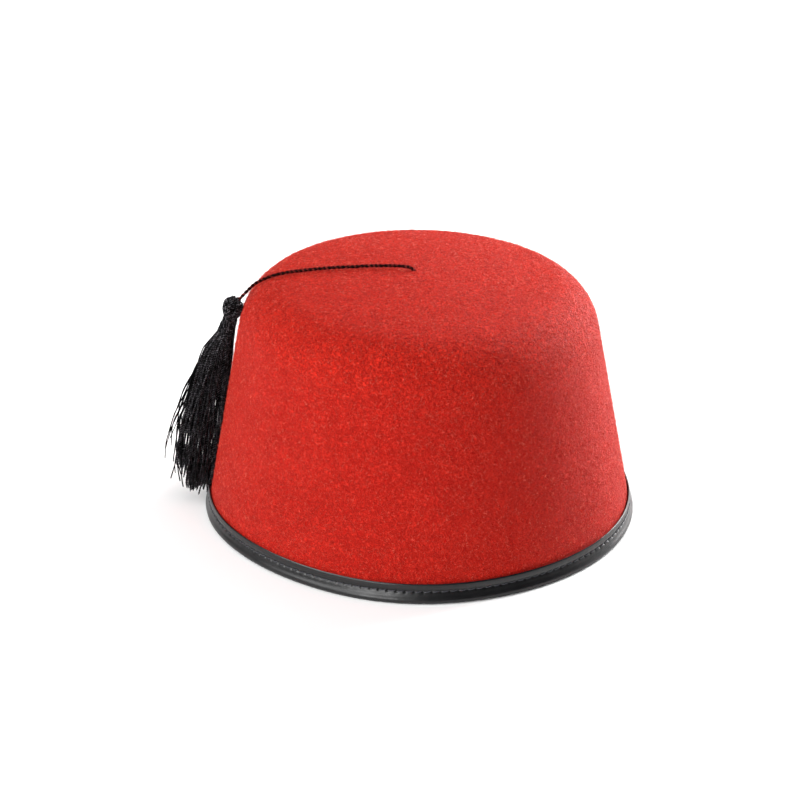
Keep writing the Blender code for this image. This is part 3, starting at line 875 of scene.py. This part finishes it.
def twisted_yarn(path, diameter, lay, start_turn=0.0, tapered=False):
    """A two-ply yarn: one flattened six-sided tube that twists along its length."""
    across, other = path_frames(path)
    turn = start_turn + 2 * math.pi * distances(path) / lay
    corners = np.array(YARN_CORNERS) * math.pi / 180
    reach = np.array(YARN_CORNER_REACH) * diameter / 2
    angle = turn[:, None] + corners[None, :]
    one_way = (reach * np.cos(angle))[..., None] * across[:, None]
    other_way = (reach * np.sin(angle))[..., None] * other[:, None]
    rings = path[:, None] + (one_way + other_way)
    rings = crested(rings, path, diameter, YARN_VALLEY)
    if tapered:
        rings_from_end = np.arange(len(path))[::-1]
        share = np.clip(rings_from_end / TAPER_RINGS + TAPER_START, 0, 1)[:, None, None]
        rings[..., :3] = path[:, None] + share * (rings[..., :3] - path[:, None])
    return rings


def make_head(look):
    """A knotted ball: loops of yarns side by side, laid over one another round a core."""
    half = np.array((HEAD_WIDTH, HEAD_WIDTH, HEAD_LENGTH)) / 2
    fall = np.linspace(CORE_POLE, math.pi - CORE_POLE, CORE_RINGS)[:, None]
    side = 2 * math.pi * np.arange(CORE_SIDES) / CORE_SIDES
    core = np.stack(np.broadcast_arrays(
        np.sin(fall) * np.cos(side), np.sin(fall) * np.sin(side), np.cos(fall),
    ), -1) * (half - CORE_INSET * HEAD_YARN)
    core_crest = np.full((CORE_RINGS, CORE_SIDES, 1), CORE_CREST)
    tubes = [np.concatenate((core[::-1], core_crest), -1)]
    turn = (2 * math.pi * np.arange(LOOP_STEPS + 1) / LOOP_STEPS)[:, None]
    for facing, offset, yarns, stand in HEAD_LOOPS:
        facing = Vector(facing).normalized()
        first = facing.orthogonal().normalized()
        second = facing.cross(first)
        for i in range(yarns):
            place = i - (yarns - 1) / 2
            share = offset + place * HEAD_YARN_SPACING * HEAD_YARN / half[0]
            lift = stand - OUTER_LOOP_DROP * abs(place)
            circle = np.cos(turn) * np.array(first) + np.sin(turn) * np.array(second)
            ring = math.sqrt(1 - share ** 2) * circle + share * np.array(facing)
            ring = ring * (half + (lift - 0.5) * HEAD_YARN)
            tubes.append(twisted_yarn(ring, HEAD_YARN, YARN_LAY, HEAD_YARN_TURN * i))
    points, faces = joined(tubes)
    turned = np.array(Matrix.Rotation(HEAD_TILT, 3, "Y"))
    points[:, :3] = points[:, :3] @ turned.T + np.array(HEAD_MIDDLE)
    head = mesh_piece("knotted_head", points, faces, look)
    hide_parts("tassel_head")
    return head


def make_neck(look):
    """Turns of yarn that gather the skirt under the ball."""
    top, end = np.array(NECK_TOP), np.array(NECK_END)
    part = np.linspace(0, 1, NECK_TURNS * NECK_STEPS_PER_TURN)
    along = (end - top) / np.linalg.norm(end - top)
    across = np.cross(along, (0, 1, 0))
    turn = 2 * math.pi * NECK_TURNS * part
    ripple = NECK_RIPPLE * np.sin(RIPPLES_PER_TURN * turn)
    radius = NECK_RADIUS + NECK_FLARE * part ** NECK_FLARE_POWER + ripple
    circle = np.cos(turn)[:, None] * across + np.sin(turn)[:, None] * np.array((0, 1.0, 0))
    slant = (NECK_SLANT * np.cos(turn))[:, None] * along
    path = top + part[:, None] * (end - top) + radius[:, None] * circle + slant
    points, faces = joined([twisted_yarn(path, HEAD_YARN, YARN_LAY)])
    return mesh_piece("neck_winding", points, faces, look)


def skirt_line(out, side, last, dice):
    """The line of one yarn: its place in the bundle, from the neck to its own end."""
    full_drop = SKIRT_TOP - SKIRT_END_HEIGHT
    drop = np.linspace(0, last, round(full_drop * last / YARN_LAY * RINGS_PER_LAY))
    height = SKIRT_TOP - drop * full_drop
    levels, lefts, rights, depths = np.array(SKIRT_SHAPE)[::-1].T
    left, right = np.interp(height, levels, lefts), np.interp(height, levels, rights)
    depth = np.interp(height, levels, depths)
    path = np.stack((
        (left + right) / 2 - out * (right - left) / 2,
        HEAD_MIDDLE.y + side * depth - SKIRT_SWING * drop,
        height,
    ), -1)
    for _ in range(SWAYS):
        waves = dice.uniform(*SWAY_WAVES) * 2 * math.pi
        reach = (1 + FAR_SIDE_SWAY * max(out, 0)) * dice.uniform(*SWAY_SIZE)
        size = reach * SWAY_GAIN / (waves / SWAY_RADIANS)
        onset = np.clip(SWAY_ONSET * drop, 0, 1)
        sway = size * onset * np.sin(waves * drop + dice.uniform(0, 2 * math.pi))
        bearing = dice.uniform(0, 2 * math.pi)
        path[:, 0] += sway * math.cos(bearing)
        path[:, 1] += sway * math.sin(bearing)
    return clear_of_hat(path)


def clear_of_hat(path):
    """The path, kept off the felt and the binding."""
    height = path[:, 2]
    room = YARN_DIAMETER / 2 + np.interp(height, CLEAR_HEIGHTS, CLEAR_OF_HAT)
    edge = np.sqrt((wall_radius(height) + room) ** 2 - path[:, 1] ** 2)
    path[:, 0] = np.minimum(path[:, 0], -edge - CROWN_LEAN * height / CROWN_HEIGHT)
    return path


def make_skirt(look):
    """The hanging yarns: an outer layer, an inner one, and loose plies that stray from them."""
    dice = random.Random(23)
    golden = math.pi * (3 - math.sqrt(5))
    pieces = []
    for name, count, inmost, outmost in SKIRT_LAYERS:
        yarns = []
        for i in range(count):
            share = math.sqrt(inmost ** 2 + (outmost ** 2 - inmost ** 2) * (i + 0.5) / count)
            bearing = golden * i + dice.uniform(-BEARING_SPREAD, BEARING_SPREAD)
            out, side = share * math.cos(bearing), share * math.sin(bearing)
            last = (1 - OUTER_YARN_SHORTER * max(out, 0) ** 2) * dice.uniform(*YARN_END_SPREAD)
            path = skirt_line(out, side, last, dice)
            diameter = YARN_DIAMETER * dice.uniform(*YARN_DIAMETER_SPREAD)
            yarns.append(twisted_yarn(path, diameter, YARN_LAY, dice.uniform(*YARN_START_TURNS), True))
        points, faces = joined(yarns)
        pieces.append(mesh_piece(name, points, faces, look))
    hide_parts("tassel_skirt")
    strays = []
    for x, z in STRAY_ENDS:
        last = (SKIRT_TOP - z) / (SKIRT_TOP - SKIRT_END_HEIGHT)
        out, side = dice.uniform(*STRAY_OUT), dice.uniform(-STRAY_ASIDE, STRAY_ASIDE)
        path = skirt_line(out, side, last, dice)[::2]
        fall = (SKIRT_TOP - path[:, 2]) / (SKIRT_TOP - z)
        free = np.clip((fall - STRAY_LEAVES) / (1 - STRAY_LEAVES), 0, 1)
        path[:, 0] += (x - path[-1, 0]) * free ** dice.uniform(*STRAY_BOW)
        radii = np.full(len(path), YARN_DIAMETER * dice.uniform(*STRAY_RADIUS_SHARE))
        tube = round_rings(path, radii, STRAY_SIDES)
        crest = np.full((*tube.shape[:2], 1), STRAY_CREST)
        strays.append(np.concatenate((tube, crest), -1))
    points, faces = joined(strays)
    pieces.append(mesh_piece("skirt_strays", points, faces, look))
    return pieces


# The studio

def make_floor():
    """A plain white floor under the hat."""
    bpy.ops.mesh.primitive_plane_add(size=FLOOR_SIZE)
    floor = bpy.context.object
    floor.name = "studio_floor"
    look, tree, shader = blank_material("white_paper")
    shader.inputs["Base Color"].default_value = linear("#ffffff")
    shader.inputs["Roughness"].default_value = 0.9
    floor.data.materials.append(look)


def softbox(name, azimuth, elevation, width, height, watts):
    """A soft square lamp that points at the hat. Azimuth 0 is in front, and 90 is on the right."""
    a, e = math.radians(azimuth), math.radians(elevation)
    light = bpy.data.lights.new(name, "AREA")
    light.shape = "RECTANGLE"
    light.size = width
    light.size_y = height
    light.energy = watts
    lamp = bpy.data.objects.new(name, light)
    bpy.context.scene.collection.objects.link(lamp)
    back = Vector((math.sin(a) * math.cos(e), -math.cos(a) * math.cos(e), math.sin(e)))
    lamp.location = HAT_MIDDLE + SOFTBOX_DISTANCE * back
    lamp.rotation_euler = (-back).to_track_quat("-Z", "Y").to_euler()


def make_lights():
    """The softboxes, and a dim white world that fills the shadows."""
    for name, azimuth, elevation, width, height, watts in SOFTBOXES:
        softbox(name, azimuth, elevation, width, height, watts)
    world = bpy.data.worlds.new("studio_white")
    world.use_nodes = True
    world.node_tree.nodes["Background"].inputs["Color"].default_value = linear("#ffffff")
    world.node_tree.nodes["Background"].inputs["Strength"].default_value = WORLD_STRENGTH
    bpy.context.scene.world = world


def make_camera():
    """The camera, from the front and above, turned slightly as the photograph is."""
    data = bpy.data.cameras.new("camera")
    data.lens = LENS_MM
    data.sensor_width = SENSOR_MM
    camera = bpy.data.objects.new("camera", data)
    bpy.context.scene.collection.objects.link(camera)
    back = Vector((0, -math.cos(CAMERA_ELEVATION), math.sin(CAMERA_ELEVATION)))
    camera.location = HAT_MIDDLE + CAMERA_DISTANCE * back
    facing = (CAMERA_AIM - camera.location).to_track_quat("-Z", "Y").to_matrix()
    camera.rotation_euler = (facing @ Matrix.Rotation(CAMERA_ROLL, 3, "Z")).to_euler()
    bpy.context.scene.camera = camera


def dress_hat():
    """Every piece of the hat, from the cord to the stitches."""
    # Painted highlights: the cord's reddish crest colour stands in for glints and the felt's red
    # reflected in them, and the yarn's pale crest colour for glints
    cord_look = rayon("twisted_rayon_cord", "#020101", "#84302b", 0.05)
    yarn_look = rayon("black_rayon_yarn", "#010101", "#98949a", 0.05)
    cord, path, length = make_cord(cord_look)
    knot = make_cord_knot(cord_look)
    head = make_head(yarn_look)
    make_neck(yarn_look)
    make_skirt(yarn_look)
    make_felt(pressed_felt())
    nap_look = felt_nap()
    for seed in range(1, NAP_PIECES + 1):
        make_nap(nap_look, seed)
    thread_look = black_thread()
    make_binding(black_leathercloth())
    make_stitches("outer_stitches", thread_look, OUTER_LEG, BINDING_OUTER_HEIGHT, 0, 1)
    make_stitches("inner_stitches", thread_look, INNER_LEG, BINDING_INNER_HEIGHT, FELT_THICKNESS, -1)


make_camera()
dress_hat()
make_floor()
make_lights()
bpy.context.scene.view_settings.view_transform = "Standard"
